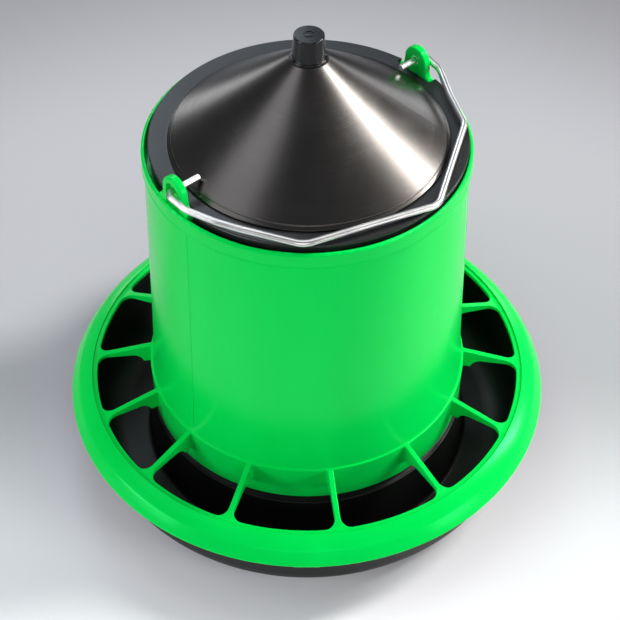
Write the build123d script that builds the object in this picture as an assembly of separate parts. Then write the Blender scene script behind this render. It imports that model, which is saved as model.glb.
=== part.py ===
from build123d import *
import math
import os

os.makedirs("parts", exist_ok=True)

# Hanging hopper feeder for poultry.  Millimetres, +Z up.
# Origin: centre of the flat underside of the feed pan.  The front is -Y.

# ---------------------------------------------------------------- dimensions
RING_R = 200.0          # outer radius of the green ring, the widest point
RING_EDGE_Z = 58.0      # height of the ring's outer edge
WINDOW_R_IN = 131.4     # windows start at the collar's outer wall
WINDOW_R_OUT = 177.2    # windows end at the ring's inner edge
FIN_COUNT = 14
FIN_T = 4.4             # width of a fin's flat top
FIN_PHASE = -80.9       # direction of the front fin, degrees from +X
FIN_SWING = 3.8         # windows run a little wider at the front and back
FIN_SWING_AT = -8.0
FIN_TOP_IN = 88.4       # fin top at the collar
FIN_TOP_OUT = 74.4      # fin top at the ring
FIN_DEPTH_IN = 17.0     # depth of a fin at the collar

COLLAR_Z0 = 54.5        # lower edge of the collar, above the pan's lip
WALL = 2.8              # wall of the green moulding
BODY_R_LOW = 126.3      # body radius where the flare starts
BODY_Z_LOW = 132.0
BODY_R_TOP = 120.0      # body radius under the rim band
BODY_Z_TOP = 300.0
RIM_R = 121.6
RIM_R_IN = 118.6
RIM_Z = 313.0
LEDGE_Z = 302.5         # the lid's skirt stands on this inner ledge
LEDGE_R = 113.5

PIVOT_AZ = 40.6         # direction of the handle's hinge line
PIVOT_BACK = 5.5        # the line runs this far behind the axis, away from the rest
PIVOT_Z = 327.0
EAR_U0 = 112.0          # inner face of an ear, from the axis
EAR_U1 = 118.4          # outer face of its arched bead
EAR_WEB = 3.0
EAR_R = 11.0
EAR_HOLE_W = 6.8
EAR_HOLE_H = 8.6

LID_R = 117.4
LID_SHIFT = (1.1, 0.9)  # the loose lid sits a little off centre
LID_Z = 316.4
CONE_R = 103.3
CONE_Z0 = 316.4
CONE_APEX_R = 13.4
CONE_APEX_Z = 386.2
CONE_T = 1.2

KNOB_R_TOP = 10.9
KNOB_R_LOW = 11.9
KNOB_LIP_R = 13.4
KNOB_H = 19.2

PAN_T = 2.6
PAN_CORNER = 28.0
PAN_FOOT_R = 156.0
PAN_RIM_R = 194.5
PAN_RIM_Z = 59.0
LIP_R = 132.0           # lip of the pan's raised centre
LIP_Z = 47.4
PAN_APEX_Z = 100.0

WIRE_D = 5.0
BAIL_REACH = 123.0      # hinge line to where the bail lies on the lid
BAIL_REST_Z = 320.05    # wire centre there, just clear of the lid's edge


def axis_frame(az):
    return Location((0, 0, 0), (0, 0, az))


def fin_angles():
    out = []
    for k in range(FIN_COUNT):
        t = 360.0 / FIN_COUNT * k
        out.append(FIN_PHASE + t + FIN_SWING * math.sin(math.radians(2 * (t + FIN_SWING_AT))))
    return out


def xz(points):
    """Closed face in the XZ plane from straight runs and three-point arcs.

    An entry is (r, z) for a straight run to that point, or (rm, zm, r, z) for
    an arc through (rm, zm) to (r, z)."""
    edges = []
    start = Vector(points[0][0], 0, points[0][1])
    cur = start
    for p in points[1:]:
        end = Vector(p[-2], 0, p[-1])
        if len(p) == 4:
            edges.append(Edge.make_three_point_arc(cur, Vector(p[0], 0, p[1]), end))
        else:
            edges.append(Edge.make_line(cur, end))
        cur = end
    if (cur - start).length > 1e-6:
        edges.append(Edge.make_line(cur, start))
    return Face(Wire(edges))


def turned(points):
    return Solid.revolve(xz(points), 360.0, Axis.Z)


def one(shape):
    """The largest solid of a result."""
    return shape.solids().sort_by(lambda q: q.volume)[-1]


def cyl(r, z0, z1, x=0.0, y=0.0):
    return Solid.make_cylinder(r, z1 - z0, Plane((x, y, z0)))


# ------------------------------------------------------------------- hopper
FLARE_MID = (127.5, 110.0)
FLARE_END = (129.9, 89.6)

OUTER_BODY = [
    (131.0, COLLAR_Z0 + 0.6),
    (131.4, 87.9),
    (131.17, 88.46, 130.6, 88.7),
    (130.1, 88.95, FLARE_END[0], FLARE_END[1]),
    (FLARE_MID[0], FLARE_MID[1], BODY_R_LOW, BODY_Z_LOW),
    (BODY_R_TOP, BODY_Z_TOP),
    (RIM_R - 0.15, BODY_Z_TOP + 0.35),
    (RIM_R + 0.22, BODY_Z_TOP + 0.85, RIM_R - 0.05, BODY_Z_TOP + 1.45),
    (RIM_R, RIM_Z - 1.8),
    (RIM_R - 0.5, RIM_Z - 0.5, RIM_R - 1.8, RIM_Z),
]
INNER_BODY = [
    (RIM_R_IN + 0.7, RIM_Z),
    (RIM_R_IN + 0.2, RIM_Z - 0.2, RIM_R_IN, RIM_Z - 0.7),
    (RIM_R_IN - 0.2, LEDGE_Z),
    (LEDGE_R, LEDGE_Z),
    (LEDGE_R, LEDGE_Z - 1.8),
    (117.25, LEDGE_Z - 6.5),
    (BODY_R_LOW - WALL, BODY_Z_LOW),
    (124.9, 110.0, 127.6, 88.0),
    (128.2, COLLAR_Z0 + 0.6),
    (128.8, COLLAR_Z0),
    (130.4, COLLAR_Z0),
]
shell = turned(OUTER_BODY + INNER_BODY).moved(Location((0, 0, 0), (0, 0, 112)))

# The broad ring and its fins are first turned as one web: fin profile inside,
# then a step, a sloping top, a rounded ridge and a steep outer wall, with a rib
# underneath that stands on the pan's rim.
slope = (FIN_TOP_IN - FIN_TOP_OUT) / (WINDOW_R_OUT - WINDOW_R_IN)
GRATE_R = 129.0         # fins end inside the collar's wall
SEAM_AZ = 11.0


def fin_top(r):
    return FIN_TOP_IN - slope * (r - WINDOW_R_IN)


grate = turned([
    (GRATE_R, fin_top(GRATE_R)),
    (WINDOW_R_OUT, FIN_TOP_OUT),
    (180.4, FIN_TOP_OUT - 0.35),
    (180.9, FIN_TOP_OUT - 0.25, 181.1, FIN_TOP_OUT + 0.15),
    (181.3, FIN_TOP_OUT + 0.85, 182.0, FIN_TOP_OUT + 0.85),
    (187.3, 72.7, 191.7, 69.5),
    (192.9, 68.5, 193.9, 67.2),
    (197.2, 62.7, 199.6, 58.9),
    (199.75, 58.2, 199.3, 57.4),
    (198.9, 57.0),
    (197.3, 57.0),
    (197.0, 58.4),
    (195.0, 61.0, 192.0, 65.3),
    (191.6, 65.8, 191.0, 66.2),
    (191.0, PAN_RIM_Z),
    (189.3, PAN_RIM_Z),
    (189.3, 67.5),
    (186.2, 69.7, 182.3, 71.4),
    (WINDOW_R_OUT, 71.4),
    (148.5, fin_top(148.5) - 7.6),
    (142.6, fin_top(142.6) - 10.4, 139.2, fin_top(139.2) - 15.6),
    (138.2, fin_top(138.2) - 16.9, 136.6, fin_top(136.6) - FIN_DEPTH_IN),
    (GRATE_R, fin_top(WINDOW_R_IN) - FIN_DEPTH_IN - 0.6),
]).moved(Location((0, 0, 0), (0, 0, SEAM_AZ)))


def window(a0, a1):
    """Prism for the window between fins at a0 and a1 degrees."""
    h = FIN_T / 2

    def at(az, side, r):
        s = math.sqrt(r * r - h * h)
        c, d = math.cos(math.radians(az)), math.sin(math.radians(az))
        return Vector(s * c - side * h * d, s * d + side * h * c, 0)

    am = math.radians((a0 + a1) / 2)
    i0, i1 = at(a0, 1, GRATE_R - 5), at(a1, -1, GRATE_R - 5)
    o0, o1 = at(a0, 1, WINDOW_R_OUT), at(a1, -1, WINDOW_R_OUT)
    om = Vector(WINDOW_R_OUT * math.cos(am), WINDOW_R_OUT * math.sin(am), 0)
    face = Face(Wire([
        Edge.make_line(i0, i1), Edge.make_line(i1, o1),
        Edge.make_three_point_arc(o1, om, o0), Edge.make_line(o0, i0),
    ]))
    outer = [v for v in face.vertices() if math.hypot(v.X, v.Y) > 170]
    face = face.fillet_2d(8.5, outer)
    return Solid.extrude(face, Vector(0, 0, 60)).moved(Location((0, 0, 45)))


angles = fin_angles()
print("fins at", [round(a, 1) for a in angles])
cutters = []
for k in range(FIN_COUNT):
    a0 = angles[k]
    a1 = angles[(k + 1) % FIN_COUNT] + (360.0 if k == FIN_COUNT - 1 else 0.0)
    cutters.append(window(a0, a1))
grate = one(grate.cut(*cutters))


def window_top_edge(e):
    radii = []
    for t in (0.0, 0.1, 0.5, 0.9, 1.0):
        p = e.position_at(t)
        r = math.hypot(p.X, p.Y)
        radii.append(r)
        if r < GRATE_R - 0.05 or r > WINDOW_R_OUT + 0.02 or abs(p.Z - fin_top(r)) > 0.05:
            return False
    return max(radii) > GRATE_R + 0.1


grate = grate.fillet(0.7, [e for e in grate.edges() if window_top_edge(e)])
# three bayonet hooks under the ring take hold of the pan's rim
for az in (-90, 30, 150):
    post = xz([(195.2, 64.0), (195.2, 56.5), (192.6, 56.5), (192.6, 54.0), (193.2, 53.4),
               (196.6, 53.4), (197.2, 54.0), (197.2, 61.5)])
    hook = Solid.extrude(post, Vector(0, 20, 0)).moved(Location((0, -10, 0)))
    grate = one(grate.fuse(hook.moved(Location((0, 0, 0), (0, 0, az)))))

# ears for the handle
ear_frame = Location((0, 0, 0), (0, 0, PIVOT_AZ))


def yz(points, x):
    """Closed face in a plane of constant X from (y, z) runs and arcs."""
    edges = []
    start = Vector(x, points[0][0], points[0][1])
    cur = start
    for p in points[1:]:
        end = Vector(x, p[-2], p[-1])
        if len(p) == 4:
            edges.append(Edge.make_three_point_arc(cur, Vector(x, p[0], p[1]), end))
        else:
            edges.append(Edge.make_line(cur, end))
        cur = end
    if (cur - start).length > 1e-6:
        edges.append(Edge.make_line(cur, start))
    return Face(Wire(edges))


def make_ear(aside):
    """One ear on +X, its middle at y = aside, as plate above and foot below the rim's top."""
    c = math.cos(math.radians(8))
    s = math.sin(math.radians(8))
    outline = [
        (16.0, RIM_Z - 11.0), (16.0, RIM_Z + 2.6),
        (13.2, RIM_Z + 4.1, EAR_R * c + 0.7, RIM_Z + 7.6),
        (EAR_R * c, PIVOT_Z + EAR_R * s),
        (0, PIVOT_Z + EAR_R, -EAR_R * c, PIVOT_Z + EAR_R * s),
        (-EAR_R * c - 0.7, RIM_Z + 7.6),
        (-13.2, RIM_Z + 4.1, -16.0, RIM_Z + 2.6),
        (-16.0, RIM_Z - 11.0),
    ]
    blank = Solid.extrude(yz(outline, EAR_U0), Vector(EAR_U1 - EAR_U0, 0, 0))
    tops = [e for e in blank.edges()
            if e.center().Z > RIM_Z + 1.0 and
            (abs(e.center().X - EAR_U0) < 0.01 or abs(e.center().X - EAR_U1) < 0.01)]
    blank = blank.fillet(1.5, tops)
    w = EAR_R - 4.4
    pocket_outline = [
        (w + 1.0, RIM_Z - 0.2), (w, PIVOT_Z),
        (0, PIVOT_Z + w, -w, PIVOT_Z), (-w - 1.0, RIM_Z - 0.2),
    ]
    pocket = Solid.extrude(yz(pocket_outline, EAR_U0 + EAR_WEB), Vector(8, 0, 0))
    hw, hh = EAR_HOLE_W / 2, (EAR_HOLE_H - EAR_HOLE_W) / 2
    slot = Solid.extrude(yz([
        (hw, PIVOT_Z - hh), (hw, PIVOT_Z + hh), (0, PIVOT_Z + hh + hw, -hw, PIVOT_Z + hh),
        (-hw, PIVOT_Z - hh), (0, PIVOT_Z - hh - hw, hw, PIVOT_Z - hh),
    ], EAR_U0 - 2), Vector(12, 0, 0))
    ear = blank.cut(pocket).cut(slot)
    ear = one(ear)
    # below the rim's top the plate runs into the rim's wall
    below = Solid.make_box(30, 40, 20, Plane((100, -20, RIM_Z - 20.8)))
    head = one(ear.cut(below)).moved(Location((0, aside, 0)))
    foot = Solid.extrude(yz(outline, EAR_U0), Vector(12, 0, 0))
    tail = one(one(foot & below).moved(Location((0, aside, 0)))
               & cyl(RIM_R_IN + 1.2, LEDGE_Z - 4, RIM_Z - 0.8))
    return head, tail


for turn in (0, 180):
    head, tail = make_ear(PIVOT_BACK if turn == 0 else -PIVOT_BACK)
    place = Location((0, 0, 0), (0, 0, PIVOT_AZ + turn))
    shell = one(shell.fuse(head.moved(place), tail.moved(place)))

# fine witness lines of the mould's split, one under each ear
for az in (-134.5, 45.5):  # clear of the ears' own line
    strip = xz([
        (129.6, 93.0),
        (FLARE_MID[0] + 0.5, FLARE_MID[1], BODY_R_LOW + 0.2, BODY_Z_LOW),
        (BODY_R_TOP + 0.2, BODY_Z_TOP - 0.4),
        (BODY_R_TOP - 1.5, BODY_Z_TOP - 0.4),
        (BODY_R_LOW - 1.5, BODY_Z_LOW),
        (FLARE_MID[0] - 1.0, FLARE_MID[1], 128.0, 93.0),
    ])
    line = Solid.extrude(strip, Vector(0, 0.6, 0)).moved(Location((0, -0.3, 0)))
    shell = one(shell.fuse(line.moved(Location((0, 0, 0), (0, 0, az)))))

hopper = one(shell.fuse(grate))

# small corner radii where the fins meet the collar


def upright_corner(e):
    p, q = e.position_at(0), e.position_at(1)
    if not 12 < e.length < 22 or abs(p.Z - q.Z) < 12:
        return False
    if math.hypot(p.X - q.X, p.Y - q.Y) > 0.7:
        return False
    return all(130.8 < math.hypot(v.X, v.Y) < 131.6 for v in (p, q))


upright = [e for e in hopper.edges() if upright_corner(e)]
try:
    rounded = hopper.fillet(1.6, upright)
    if rounded.is_valid:
        hopper = rounded
        print("fin corners rounded:", len(upright))
except Exception as err:
    print("fin corners left square:", len(upright), err)

# ----------------------------------------------------------------- feed pan
T = PAN_T
a8 = math.radians(8)
wall_foot = (PAN_FOOT_R + PAN_CORNER * math.cos(a8), PAN_CORNER - PAN_CORNER * math.sin(a8))
wall_top_r = wall_foot[0] + (56.8 - wall_foot[1]) * math.tan(a8)
ri = PAN_CORNER - T
in_foot = (PAN_FOOT_R + ri * math.cos(a8), PAN_CORNER - ri * math.sin(a8))
in_top_r = in_foot[0] + (PAN_RIM_Z - in_foot[1]) * math.tan(a8)
a41 = math.radians(41)
feed_pan = turned([
    (0, PAN_APEX_Z - T),
    (5.0, PAN_APEX_Z - T),
    (127.2, LIP_Z - 2.3),
    (128.7, LIP_Z - 3.2, 129.3, LIP_Z - 5.0),
    (134.0, 4.0),
    (135.0, 0.9, 137.8, 0.0),
    (PAN_FOOT_R, 0.0),
    (PAN_FOOT_R + PAN_CORNER * math.sin(a41), PAN_CORNER - PAN_CORNER * math.cos(a41),
     wall_foot[0], wall_foot[1]),
    (wall_top_r - 0.2, 56.0),
    (wall_top_r + 0.2, 56.75, wall_top_r + 1.1, 56.8),
    (PAN_RIM_R - 0.6, 56.8),
    (PAN_RIM_R, 57.4),
    (PAN_RIM_R, PAN_RIM_Z - 0.7),
    (PAN_RIM_R - 0.2, PAN_RIM_Z - 0.2, PAN_RIM_R - 0.7, PAN_RIM_Z),
    (in_top_r + 0.9, PAN_RIM_Z),
    (in_top_r + 0.2, PAN_RIM_Z - 0.3, in_top_r - 0.1, PAN_RIM_Z - 1.0),
    (in_foot[0], in_foot[1]),
    (PAN_FOOT_R + ri * math.sin(a41), PAN_CORNER - ri * math.cos(a41), PAN_FOOT_R, T),
    (140.4, T),
    (138.0, T + 0.9, 137.0, T + 3.0),
    (LIP_R, LIP_Z - 0.9),
    (LIP_R - 0.5, LIP_Z - 0.1, LIP_R - 1.5, LIP_Z),
    (129.9, LIP_Z + 0.1, 129.0, LIP_Z + 0.45),
    (6.5, PAN_APEX_Z - 0.5),
    (5.0, PAN_APEX_Z),
    (0, PAN_APEX_Z),
])
for az in (-74, 46, 166):
    notch = Solid.make_box(8, 26, 6, Plane((191.4, -13, 55.6)))
    feed_pan = feed_pan.cut(notch.moved(Location((0, 0, 0), (0, 0, az))))
    feed_pan = one(feed_pan)

# ---------------------------------------------------------------------- lid
lid_rim = turned([
    (97.0, LID_Z - 2.2),
    (97.0, LID_Z),
    (104.6, LID_Z),
    (LID_R - 1.1, LID_Z + 0.85),
    (LID_R - 0.3, LID_Z + 0.62, LID_R, LID_Z - 0.1),
    (LID_R, LID_Z - 1.3),
    (LID_R - 0.5, LID_Z - 1.8),
    (116.5, LID_Z - 2.4),
    (116.3, LEDGE_Z + 0.6),
    (115.7, LEDGE_Z),
    (114.4, LEDGE_Z),
    (113.9, LEDGE_Z + 0.6),
    (113.6, LID_Z - 3.0),
    (113.2, LID_Z - 2.0, 112.2, LID_Z - 1.7),
    (104.6, LID_Z - 2.2),
]).moved(Location((*LID_SHIFT, 0)))
for turn in (0, 180):
    aside = PIVOT_BACK if turn == 0 else -PIVOT_BACK
    slot = Solid.make_box(16, 36, 30, Plane((111.0, aside - 18.0, 296)))
    sharp = [e for e in slot.edges() if abs(e.center().X - 111.0) < 0.01 and e.bounding_box().size.Z > 20]
    slot = slot.fillet(2.0, sharp)
    lid_rim = one(lid_rim.cut(slot.moved(Location((0, 0, 0), (0, 0, PIVOT_AZ + turn)))))

lid_cone = turned([
    (96.0, CONE_Z0),
    (CONE_R - 0.85, CONE_Z0),
    (CONE_R - 0.25, CONE_Z0 + 0.25, CONE_R, CONE_Z0 + 0.85),
    (CONE_R - 0.07, CONE_Z0 + 1.22, CONE_R - 0.335, CONE_Z0 + 1.526),
    (CONE_R - 2.2, CONE_Z0 + 2.95),
    (CONE_R - 2.45, CONE_Z0 + 3.47, CONE_R - 3.0, CONE_Z0 + 3.73),
    (CONE_APEX_R + 0.9, CONE_APEX_Z - 0.65),
    (CONE_APEX_R + 0.1, CONE_APEX_Z - 0.17, CONE_APEX_R - 0.9, CONE_APEX_Z),
    (2.3, CONE_APEX_Z),
    (2.3, CONE_APEX_Z - CONE_T),
    (CONE_APEX_R - 1.3, CONE_APEX_Z - CONE_T),
    (CONE_APEX_R + 0.3, CONE_APEX_Z - 1.75),
    (CONE_R - 2.0, CONE_Z0 + CONE_T),
    (96.0, CONE_Z0 + CONE_T),
]).moved(Location((*LID_SHIFT, 0)))

KZ = CONE_APEX_Z
lid_knob = turned([
    (2.0, KZ),
    (KNOB_LIP_R - 0.6, KZ),
    (KNOB_LIP_R - 0.18, KZ + 0.18, KNOB_LIP_R, KZ + 0.6),
    (KNOB_LIP_R, KZ + 1.1),
    (KNOB_LIP_R - 0.23, KZ + 1.67, KNOB_LIP_R - 0.8, KZ + 1.9),
    (KNOB_R_LOW + 0.6, KZ + 1.9),
    (KNOB_R_LOW + 0.15, KZ + 2.1, KNOB_R_LOW, KZ + 2.6),
    (KNOB_R_TOP, KZ + KNOB_H - 1.1),
    (KNOB_R_TOP - 0.25, KZ + KNOB_H - 0.3, KNOB_R_TOP - 1.1, KZ + KNOB_H),
    (3.75, KZ + KNOB_H),
    (3.6, KZ + KNOB_H - 0.55),
    (2.75, KZ + KNOB_H - 0.55),
    (2.6, KZ + KNOB_H - 0.05),
    (1.0, KZ + KNOB_H - 0.05),
    (0.7, KZ + KNOB_H - 0.35),
    (0, KZ + KNOB_H - 0.35),
    (0, KZ + 13.5),
    (2.0, KZ + 12.0),
]).moved(Location((*LID_SHIFT, 0)))

HZ = CONE_APEX_Z - CONE_T
knob_screw = turned([
    (0, KZ + 12.6),
    (1.2, KZ + 11.6),
    (2.0, KZ + 10.2),
    (2.0, HZ),
    (6.0, HZ),
    (6.0, HZ - 0.9),
    (4.1, HZ - 0.9),
    (4.0, HZ - 1.6),
    (3.4, HZ - 3.0, 1.6, HZ - 3.5),
    (0, HZ - 3.5),
]).moved(Location((*LID_SHIFT, 0)))
for rot in (0, 90):
    arm = Solid.make_box(4.4, 0.9, 2.2, Plane((-2.2, -0.45, HZ - 4.0)))
    knob_screw = knob_screw.cut(arm.moved(Location((*LID_SHIFT, 0), (0, 0, rot))))
    knob_screw = one(knob_screw)

# ------------------------------------------------------------ handle (bail)
# Path in the loop's own plane: u along the hinge line, v out over the lid.
drop = math.atan2(PIVOT_Z - BAIL_REST_Z, BAIL_REACH)

legs = [(-94.4, 0.0), (-122.4, 0.0), (-121.6, 20.0), (-112.0, 42.5), (-103.0, 58.5), (-79.4, 95.2),
        (18.0, 124.0), (91.6, 75.2), (104.6, 47.0), (120.0, 19.0), (122.2, 0.0), (97.4, 0.0)]
radii = [5.2, 16.0, 40.0, 60.0, 16.0, 12.0, 13.0, 60.0, 14.0, 5.2]


def bail_point(u, v):
    z = PIVOT_Z - v * math.sin(drop)
    w = v * math.cos(drop)
    c, s = math.cos(math.radians(PIVOT_AZ)), math.sin(math.radians(PIVOT_AZ))
    w -= PIVOT_BACK
    return Vector(u * c + w * s, u * s - w * c, z)


pts = [bail_point(u, v) for u, v in legs]
path = FilletPolyline(*pts, radius=radii)
first = pts[1] - pts[0]
section = Plane(origin=pts[0], z_dir=first) * Circle(WIRE_D / 2)
bail_handle = sweep(section, path=path)
bail_handle = bail_handle.solids()[0]
ends = [e for e in bail_handle.edges() if e.geom_type == GeomType.CIRCLE
        and min((e.arc_center - pts[0]).length, (e.arc_center - pts[-1]).length) < 0.05]
try:
    soft = bail_handle.fillet(0.5, ends)
    if soft.is_valid:
        bail_handle = soft
except Exception as err:
    print("wire ends left square:", err)

# ------------------------------------------------------------------- export
NODES = {
    "hopper": hopper,
    "feed_pan": feed_pan,
    "lid_rim": lid_rim,
    "lid_cone": lid_cone,
    "lid_knob": lid_knob,
    "knob_screw": knob_screw,
    "bail_handle": bail_handle,
}
for name, shape in NODES.items():
    shape.label = name
    export_step(shape, f"parts/{name}.step")
    print(name, "valid" if shape.is_valid else "NOT VALID", round(shape.volume / 1000.0, 1), "cm3")
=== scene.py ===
import math

import bmesh
import bpy
from mathutils import Matrix, Vector

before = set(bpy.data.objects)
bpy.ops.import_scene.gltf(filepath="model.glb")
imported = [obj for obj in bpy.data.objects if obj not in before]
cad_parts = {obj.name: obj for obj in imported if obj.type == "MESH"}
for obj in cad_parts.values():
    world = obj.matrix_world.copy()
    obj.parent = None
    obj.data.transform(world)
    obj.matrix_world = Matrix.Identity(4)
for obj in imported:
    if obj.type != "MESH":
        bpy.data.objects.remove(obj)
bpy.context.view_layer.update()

scene = bpy.context.scene


# ------------------------------------------------------------------ camera
def make_camera():
    yaw, pitch, roll = 0.0030, math.radians(46.34), 0.0035
    fwd = Vector((math.sin(yaw) * math.cos(pitch), math.cos(yaw) * math.cos(pitch), -math.sin(pitch)))
    right = Vector((math.cos(yaw), -math.sin(yaw), 0.0))
    up = right.cross(fwd)
    r2 = math.cos(roll) * right + math.sin(roll) * up
    u2 = -math.sin(roll) * right + math.cos(roll) * up
    data = bpy.data.cameras.new("camera")
    data.sensor_fit = "HORIZONTAL"
    data.sensor_width = 36.0
    data.lens = 1445.9 / 620.0 * 36.0
    data.clip_start, data.clip_end = 0.05, 60.0
    cam = bpy.data.objects.new("camera", data)
    scene.collection.objects.link(cam)
    rot = Matrix((r2, u2, -fwd)).transposed()
    cam.matrix_world = Matrix.Translation((0.0, -0.81916, 0.99124)) @ rot.to_4x4()
    scene.camera = cam
    return cam


make_camera()


# --------------------------------------------------------------- materials
class Nodes:
    """Small helper round a material's node tree."""

    def __init__(self, name):
        self.mat = bpy.data.materials.new(name)
        self.mat.use_nodes = True
        self.tree = self.mat.node_tree
        self.tree.nodes.clear()
        self.out = self.add("ShaderNodeOutputMaterial")
        self.bsdf = self.add("ShaderNodeBsdfPrincipled")
        self.link(self.bsdf.outputs[0], self.out.inputs["Surface"])

    def add(self, kind, **props):
        n = self.tree.nodes.new(kind)
        for k, v in props.items():
            setattr(n, k, v)
        return n

    def link(self, a, b):
        self.tree.links.new(a, b)

    def set(self, **values):
        for k, v in values.items():
            self.bsdf.inputs[k.replace("_", " ")].default_value = v

    def coords(self):
        return self.add("ShaderNodeTexCoord").outputs["Object"]

    def mapped(self, scale=(1, 1, 1), rot=(0, 0, 0)):
        m = self.add("ShaderNodeMapping")
        m.inputs["Scale"].default_value = scale
        m.inputs["Rotation"].default_value = rot
        self.link(self.coords(), m.inputs["Vector"])
        return m.outputs[0]

    def noise(self, vec, scale, detail=3.0, rough=0.5, distortion=0.0):
        n = self.add("ShaderNodeTexNoise")
        n.inputs["Scale"].default_value = scale
        n.inputs["Detail"].default_value = detail
        n.inputs["Roughness"].default_value = rough
        n.inputs["Distortion"].default_value = distortion
        self.link(vec, n.inputs["Vector"])
        return n.outputs["Fac"]

    def ramp(self, fac, stops, interp="LINEAR"):
        r = self.add("ShaderNodeValToRGB")
        r.color_ramp.interpolation = interp
        els = r.color_ramp.elements
        while len(els) > 1:
            els.remove(els[-1])
        els[0].position, els[0].color = stops[0][0], stops[0][1]
        for pos, col in stops[1:]:
            e = els.new(pos)
            e.color = col
        self.link(fac, r.inputs["Fac"])
        return r.outputs["Color"]

    def map_range(self, val, a, b, c, d):
        m = self.add("ShaderNodeMapRange")
        for i, x in zip(("From Min", "From Max", "To Min", "To Max"), (a, b, c, d)):
            m.inputs[i].default_value = x
        self.link(val, m.inputs["Value"])
        return m.outputs[0]

    def math(self, op, a, b=None, c=None):
        m = self.add("ShaderNodeMath", operation=op)
        for i, x in enumerate((a, b, c)):
            if x is None:
                continue
            if isinstance(x, (int, float)):
                m.inputs[i].default_value = x
            else:
                self.link(x, m.inputs[i])
        return m.outputs[0]

    def bump(self, height, strength, distance, normal=None):
        b = self.add("ShaderNodeBump")
        b.inputs["Strength"].default_value = strength
        b.inputs["Distance"].default_value = distance
        self.link(height, b.inputs["Height"])
        if normal is not None:
            self.link(normal, b.inputs["Normal"])
        return b.outputs[0]

    def mix_rgb(self, fac, a, b, mode="MIX"):
        m = self.add("ShaderNodeMix", data_type="RGBA", blend_type=mode)
        for sock, x in ((m.inputs[0], fac), (m.inputs[6], a), (m.inputs[7], b)):
            if isinstance(x, (int, float)):
                sock.default_value = x
            elif isinstance(x, tuple):
                sock.default_value = x
            else:
                self.link(x, sock)
        return m.outputs[2]


def xyz(n):
    s = n.add("ShaderNodeSeparateXYZ")
    n.link(n.coords(), s.inputs[0])
    return s.outputs


def radius_angle(n):
    """Distance from the axis and angle round it, in metres and radians."""
    x, y, z = xyz(n)
    r = n.math("SQRT", n.math("ADD", n.math("MULTIPLY", x, x), n.math("MULTIPLY", y, y)))
    a = n.math("ARCTAN2", y, x)
    return r, a, z


def green_plastic():
    n = Nodes("green_moulded_plastic")
    # faint flow marks and density changes of injection-moulded polypropylene
    flow = n.noise(n.mapped((1.0, 1.0, 0.35)), 9.0, 4.0, 0.55, 0.6)
    fine = n.noise(n.mapped(), 420.0, 2.0, 0.5)
    col = n.ramp(flow, [(0.30, (0.0004, 0.58, 0.066, 1)), (0.52, (0.0005, 0.615, 0.074, 1)),
                        (0.75, (0.0008, 0.645, 0.082, 1))])
    n.link(col, n.bsdf.inputs["Base Color"])
    n.link(n.map_range(flow, 0.3, 0.7, 0.20, 0.24), n.bsdf.inputs["Roughness"])
    n.set(IOR=1.49, Specular_IOR_Level=0.30)
    n.bsdf.inputs["Specular Tint"].default_value = (0.02, 1.0, 0.30, 1)
    n.bsdf.inputs["Subsurface Weight"].default_value = 0.12
    n.bsdf.inputs["Subsurface Radius"].default_value = (0.2, 1.0, 0.35)
    n.bsdf.inputs["Subsurface Scale"].default_value = 0.004
    wave = n.noise(n.mapped(), 26.0, 2.0, 0.4)
    b1 = n.bump(wave, 0.10, 0.0012)
    b2 = n.bump(fine, 0.05, 0.0002, b1)
    n.link(b2, n.bsdf.inputs["Normal"])
    return n.mat


def black_plastic(name, base, rough, grain, gstrength, spec=0.5):
    n = Nodes(name)
    big = n.noise(n.mapped(), 18.0, 3.0, 0.5, 0.3)
    fine = n.noise(n.mapped(), grain, 3.0, 0.6)
    lo = tuple(c * 0.85 for c in base) + (1,)
    hi = tuple(c * 1.18 for c in base) + (1,)
    n.link(n.ramp(big, [(0.35, lo), (0.65, hi)]), n.bsdf.inputs["Base Color"])
    n.link(n.map_range(big, 0.3, 0.7, rough - 0.03, rough + 0.04), n.bsdf.inputs["Roughness"])
    n.set(IOR=1.49, Specular_IOR_Level=spec)
    b1 = n.bump(big, 0.06, 0.001)
    n.link(n.bump(fine, gstrength, 0.00025, b1), n.bsdf.inputs["Normal"])
    return n.mat


def spun_sheet():
    """Dark spun sheet: fine brushing runs round the cone."""
    n = Nodes("dark_spun_sheet")
    r, a, z = radius_angle(n)
    comb = n.add("ShaderNodeCombineXYZ")
    n.link(n.math("MULTIPLY", r, 900.0), comb.inputs[0])
    n.link(n.math("MULTIPLY", n.math("COSINE", a), 1.6), comb.inputs[1])
    n.link(n.math("MULTIPLY", n.math("SINE", a), 1.6), comb.inputs[2])
    brush = n.noise(comb.outputs[0], 1.0, 3.0, 0.6)
    blotch = n.noise(n.mapped(), 14.0, 4.0, 0.6, 0.4)
    n.link(n.ramp(blotch, [(0.3, (0.070, 0.065, 0.062, 1)), (0.7, (0.092, 0.086, 0.082, 1))]),
           n.bsdf.inputs["Base Color"])
    n.set(Metallic=1.0)
    rough = n.math("ADD", n.map_range(brush, 0.3, 0.7, 0.23, 0.26), n.map_range(blotch, 0.3, 0.7, -0.02, 0.03))
    n.link(rough, n.bsdf.inputs["Roughness"])
    n.bsdf.inputs["Anisotropic"].default_value = 0.55
    tan = n.add("ShaderNodeTangent", direction_type="RADIAL", axis="Z")
    n.link(tan.outputs[0], n.bsdf.inputs["Tangent"])
    n.link(n.bump(brush, 0.008, 0.0001), n.bsdf.inputs["Normal"])
    return n.mat


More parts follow.
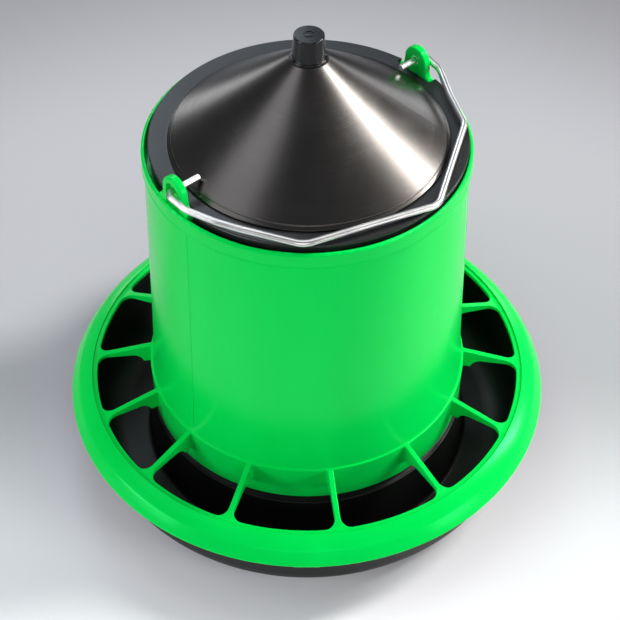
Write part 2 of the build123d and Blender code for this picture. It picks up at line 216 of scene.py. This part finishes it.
def wire_steel():
    n = Nodes("stainless_wire")
    fine = n.noise(n.mapped(), 700.0, 2.0, 0.5)
    big = n.noise(n.mapped(), 45.0, 3.0, 0.5)
    n.link(n.ramp(big, [(0.3, (0.70, 0.695, 0.68, 1)), (0.7, (0.82, 0.815, 0.80, 1))]),
           n.bsdf.inputs["Base Color"])
    n.set(Metallic=1.0)
    n.link(n.map_range(big, 0.3, 0.7, 0.27, 0.35), n.bsdf.inputs["Roughness"])
    n.link(n.bump(fine, 0.08, 0.0001), n.bsdf.inputs["Normal"])
    return n.mat


def screw_steel():
    n = Nodes("zinc_screw")
    big = n.noise(n.mapped(), 300.0, 3.0, 0.5)
    n.link(n.ramp(big, [(0.3, (0.45, 0.45, 0.44, 1)), (0.7, (0.6, 0.6, 0.59, 1))]), n.bsdf.inputs["Base Color"])
    n.set(Metallic=1.0, Roughness=0.35)
    return n.mat


MATS = {
    "hopper": green_plastic(),
    "feed_pan": black_plastic("black_pan_plastic", (0.0045, 0.0052, 0.0048), 0.48, 900.0, 0.10, 0.32),
    "lid_rim": black_plastic("black_lid_plastic", (0.0085, 0.0088, 0.0095), 0.36, 1100.0, 0.10),
    "lid_cone": spun_sheet(),
    "lid_knob": black_plastic("black_knob_plastic", (0.0032, 0.0032, 0.0038), 0.17, 900.0, 0.03, 0.4),
    "knob_screw": screw_steel(),
    "bail_handle": wire_steel(),
}
for node, mat in MATS.items():
    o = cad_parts[node]
    if not o.material_slots:
        o.data.materials.append(mat)
    for slot in o.material_slots:
        slot.material = mat


# ------------------------------------------------------------------- floor
def make_floor():
    me = bpy.data.meshes.new("floor")
    s = 9.0
    me.from_pydata([(-s, -s, 0), (s, -s, 0), (s, s, 0), (-s, s, 0)], [], [(0, 1, 2, 3)])
    o = bpy.data.objects.new("floor", me)
    scene.collection.objects.link(o)
    n = Nodes("pale_floor")
    # painted light falloff: the floor colour is paler in front than behind, standing in for a pool of light in front
    x, y, z = xyz(n)
    soft = n.noise(n.mapped(), 1.3, 2.0, 0.5)
    depth = n.math("ADD", n.map_range(y, -0.25, 0.75, 0.0, 1.0), n.map_range(soft, 0.3, 0.7, -0.02, 0.02))
    # painted light falloff ramp along the depth of the floor
    painted_falloff = n.ramp(depth, [(0.0, (0.87, 0.865, 0.90, 1)), (0.10, (0.76, 0.755, 0.79, 1)),
                           (0.30, (0.43, 0.425, 0.455, 1)), (0.58, (0.45, 0.445, 0.475, 1)),
                           (0.88, (0.42, 0.415, 0.44, 1)), (1.0, (0.34, 0.335, 0.355, 1))], "EASE")
    out = n.math("SQRT", n.math("ADD", n.math("MULTIPLY", x, x), n.math("POWER", n.math("SUBTRACT", y, 0.12), 2.0)))
    # painted vignette: the floor colour darkens towards the far corners, standing in for light falloff
    painted_vignette = n.ramp(n.map_range(out, 0.36, 0.72, 0.0, 1.0), [(0.0, (1, 1, 1, 1)), (1.0, (0.66, 0.66, 0.665, 1))], "EASE")
    # painted shade: the floor colour is darker towards the right, to even out the brighter lighting there
    painted_side_shade = n.ramp(n.map_range(x, -0.35, 0.35, 0.0, 1.0), [(0.0, (1, 1, 1, 1)), (0.5, (0.97, 0.97, 0.97, 1)),
                                                         (1.0, (0.80, 0.80, 0.805, 1))])
    painted_falloff = n.mix_rgb(1.0, painted_falloff, painted_side_shade, "MULTIPLY")
    n.link(n.mix_rgb(1.0, painted_falloff, painted_vignette, "MULTIPLY"), n.bsdf.inputs["Base Color"])
    n.set(Roughness=0.62, Specular_IOR_Level=0.3)
    me.materials.append(n.mat)
    return o


make_floor()


# ------------------------------------------------------------------ lights
def area(name, loc, target, size, power, color=(1, 1, 1), spread=180.0):
    d = bpy.data.lights.new(name, "AREA")
    d.shape = "RECTANGLE"
    d.size, d.size_y = size
    d.energy = power
    d.color = color
    d.spread = math.radians(spread)
    o = bpy.data.objects.new(name, d)
    scene.collection.objects.link(o)
    v = Vector(target) - Vector(loc)
    o.matrix_world = Matrix.Translation(loc) @ v.to_track_quat("-Z", "Y").to_matrix().to_4x4()
    return o


def around(az, elev, dist, z=0.25):
    """Point at a direction and distance from the feeder's upper half."""
    a, e = math.radians(az), math.radians(elev)
    return (dist * math.cos(e) * math.cos(a), dist * math.cos(e) * math.sin(a), z + dist * math.sin(e))


AIM = (0.0, 0.0, 0.25)
area("key_right", around(15, 35, 1.6), AIM, (0.28, 1.0), 15.0, (1.0, 0.985, 0.95), 120)
area("key_left", around(-167, 51, 1.6), AIM, (0.7, 0.8), 4, (0.93, 0.96, 1.0))
area("low_left", around(-156, 11, 1.9), AIM, (0.9, 0.6), 18, (0.96, 0.98, 1.0))
area("low_right", around(-30, 10, 1.9), AIM, (0.6, 0.6), 13, (1.0, 0.99, 0.97))
area("front_fill", around(-90, 24, 2.2), AIM, (1.6, 0.6), 11, (1.0, 0.99, 0.97))
area("overhead", (-0.1, 0.7, 2.6), (0, 0.0, 0), (1.8, 1.0), 10)
area("low_back_left", around(122, 4.0, 1.3), AIM, (0.2, 0.4), 0.8, (0.96, 0.98, 1.0))
area("low_back_right", around(54, 5.5, 1.3), AIM, (0.25, 0.5), 1.0, (0.96, 0.98, 1.0))
area("back_window", around(105, 38, 1.9), AIM, (0.7, 0.35), 5.2, (0.78, 0.89, 1.0))

world = bpy.data.worlds.new("studio")
world.use_nodes = True
bg = world.node_tree.nodes["Background"]
bg.inputs[0].default_value = (0.92, 0.95, 1.0, 1)
bg.inputs[1].default_value = 0.20
scene.world = world
scene.view_settings.view_transform = "Standard"
scene.view_settings.look = "None"
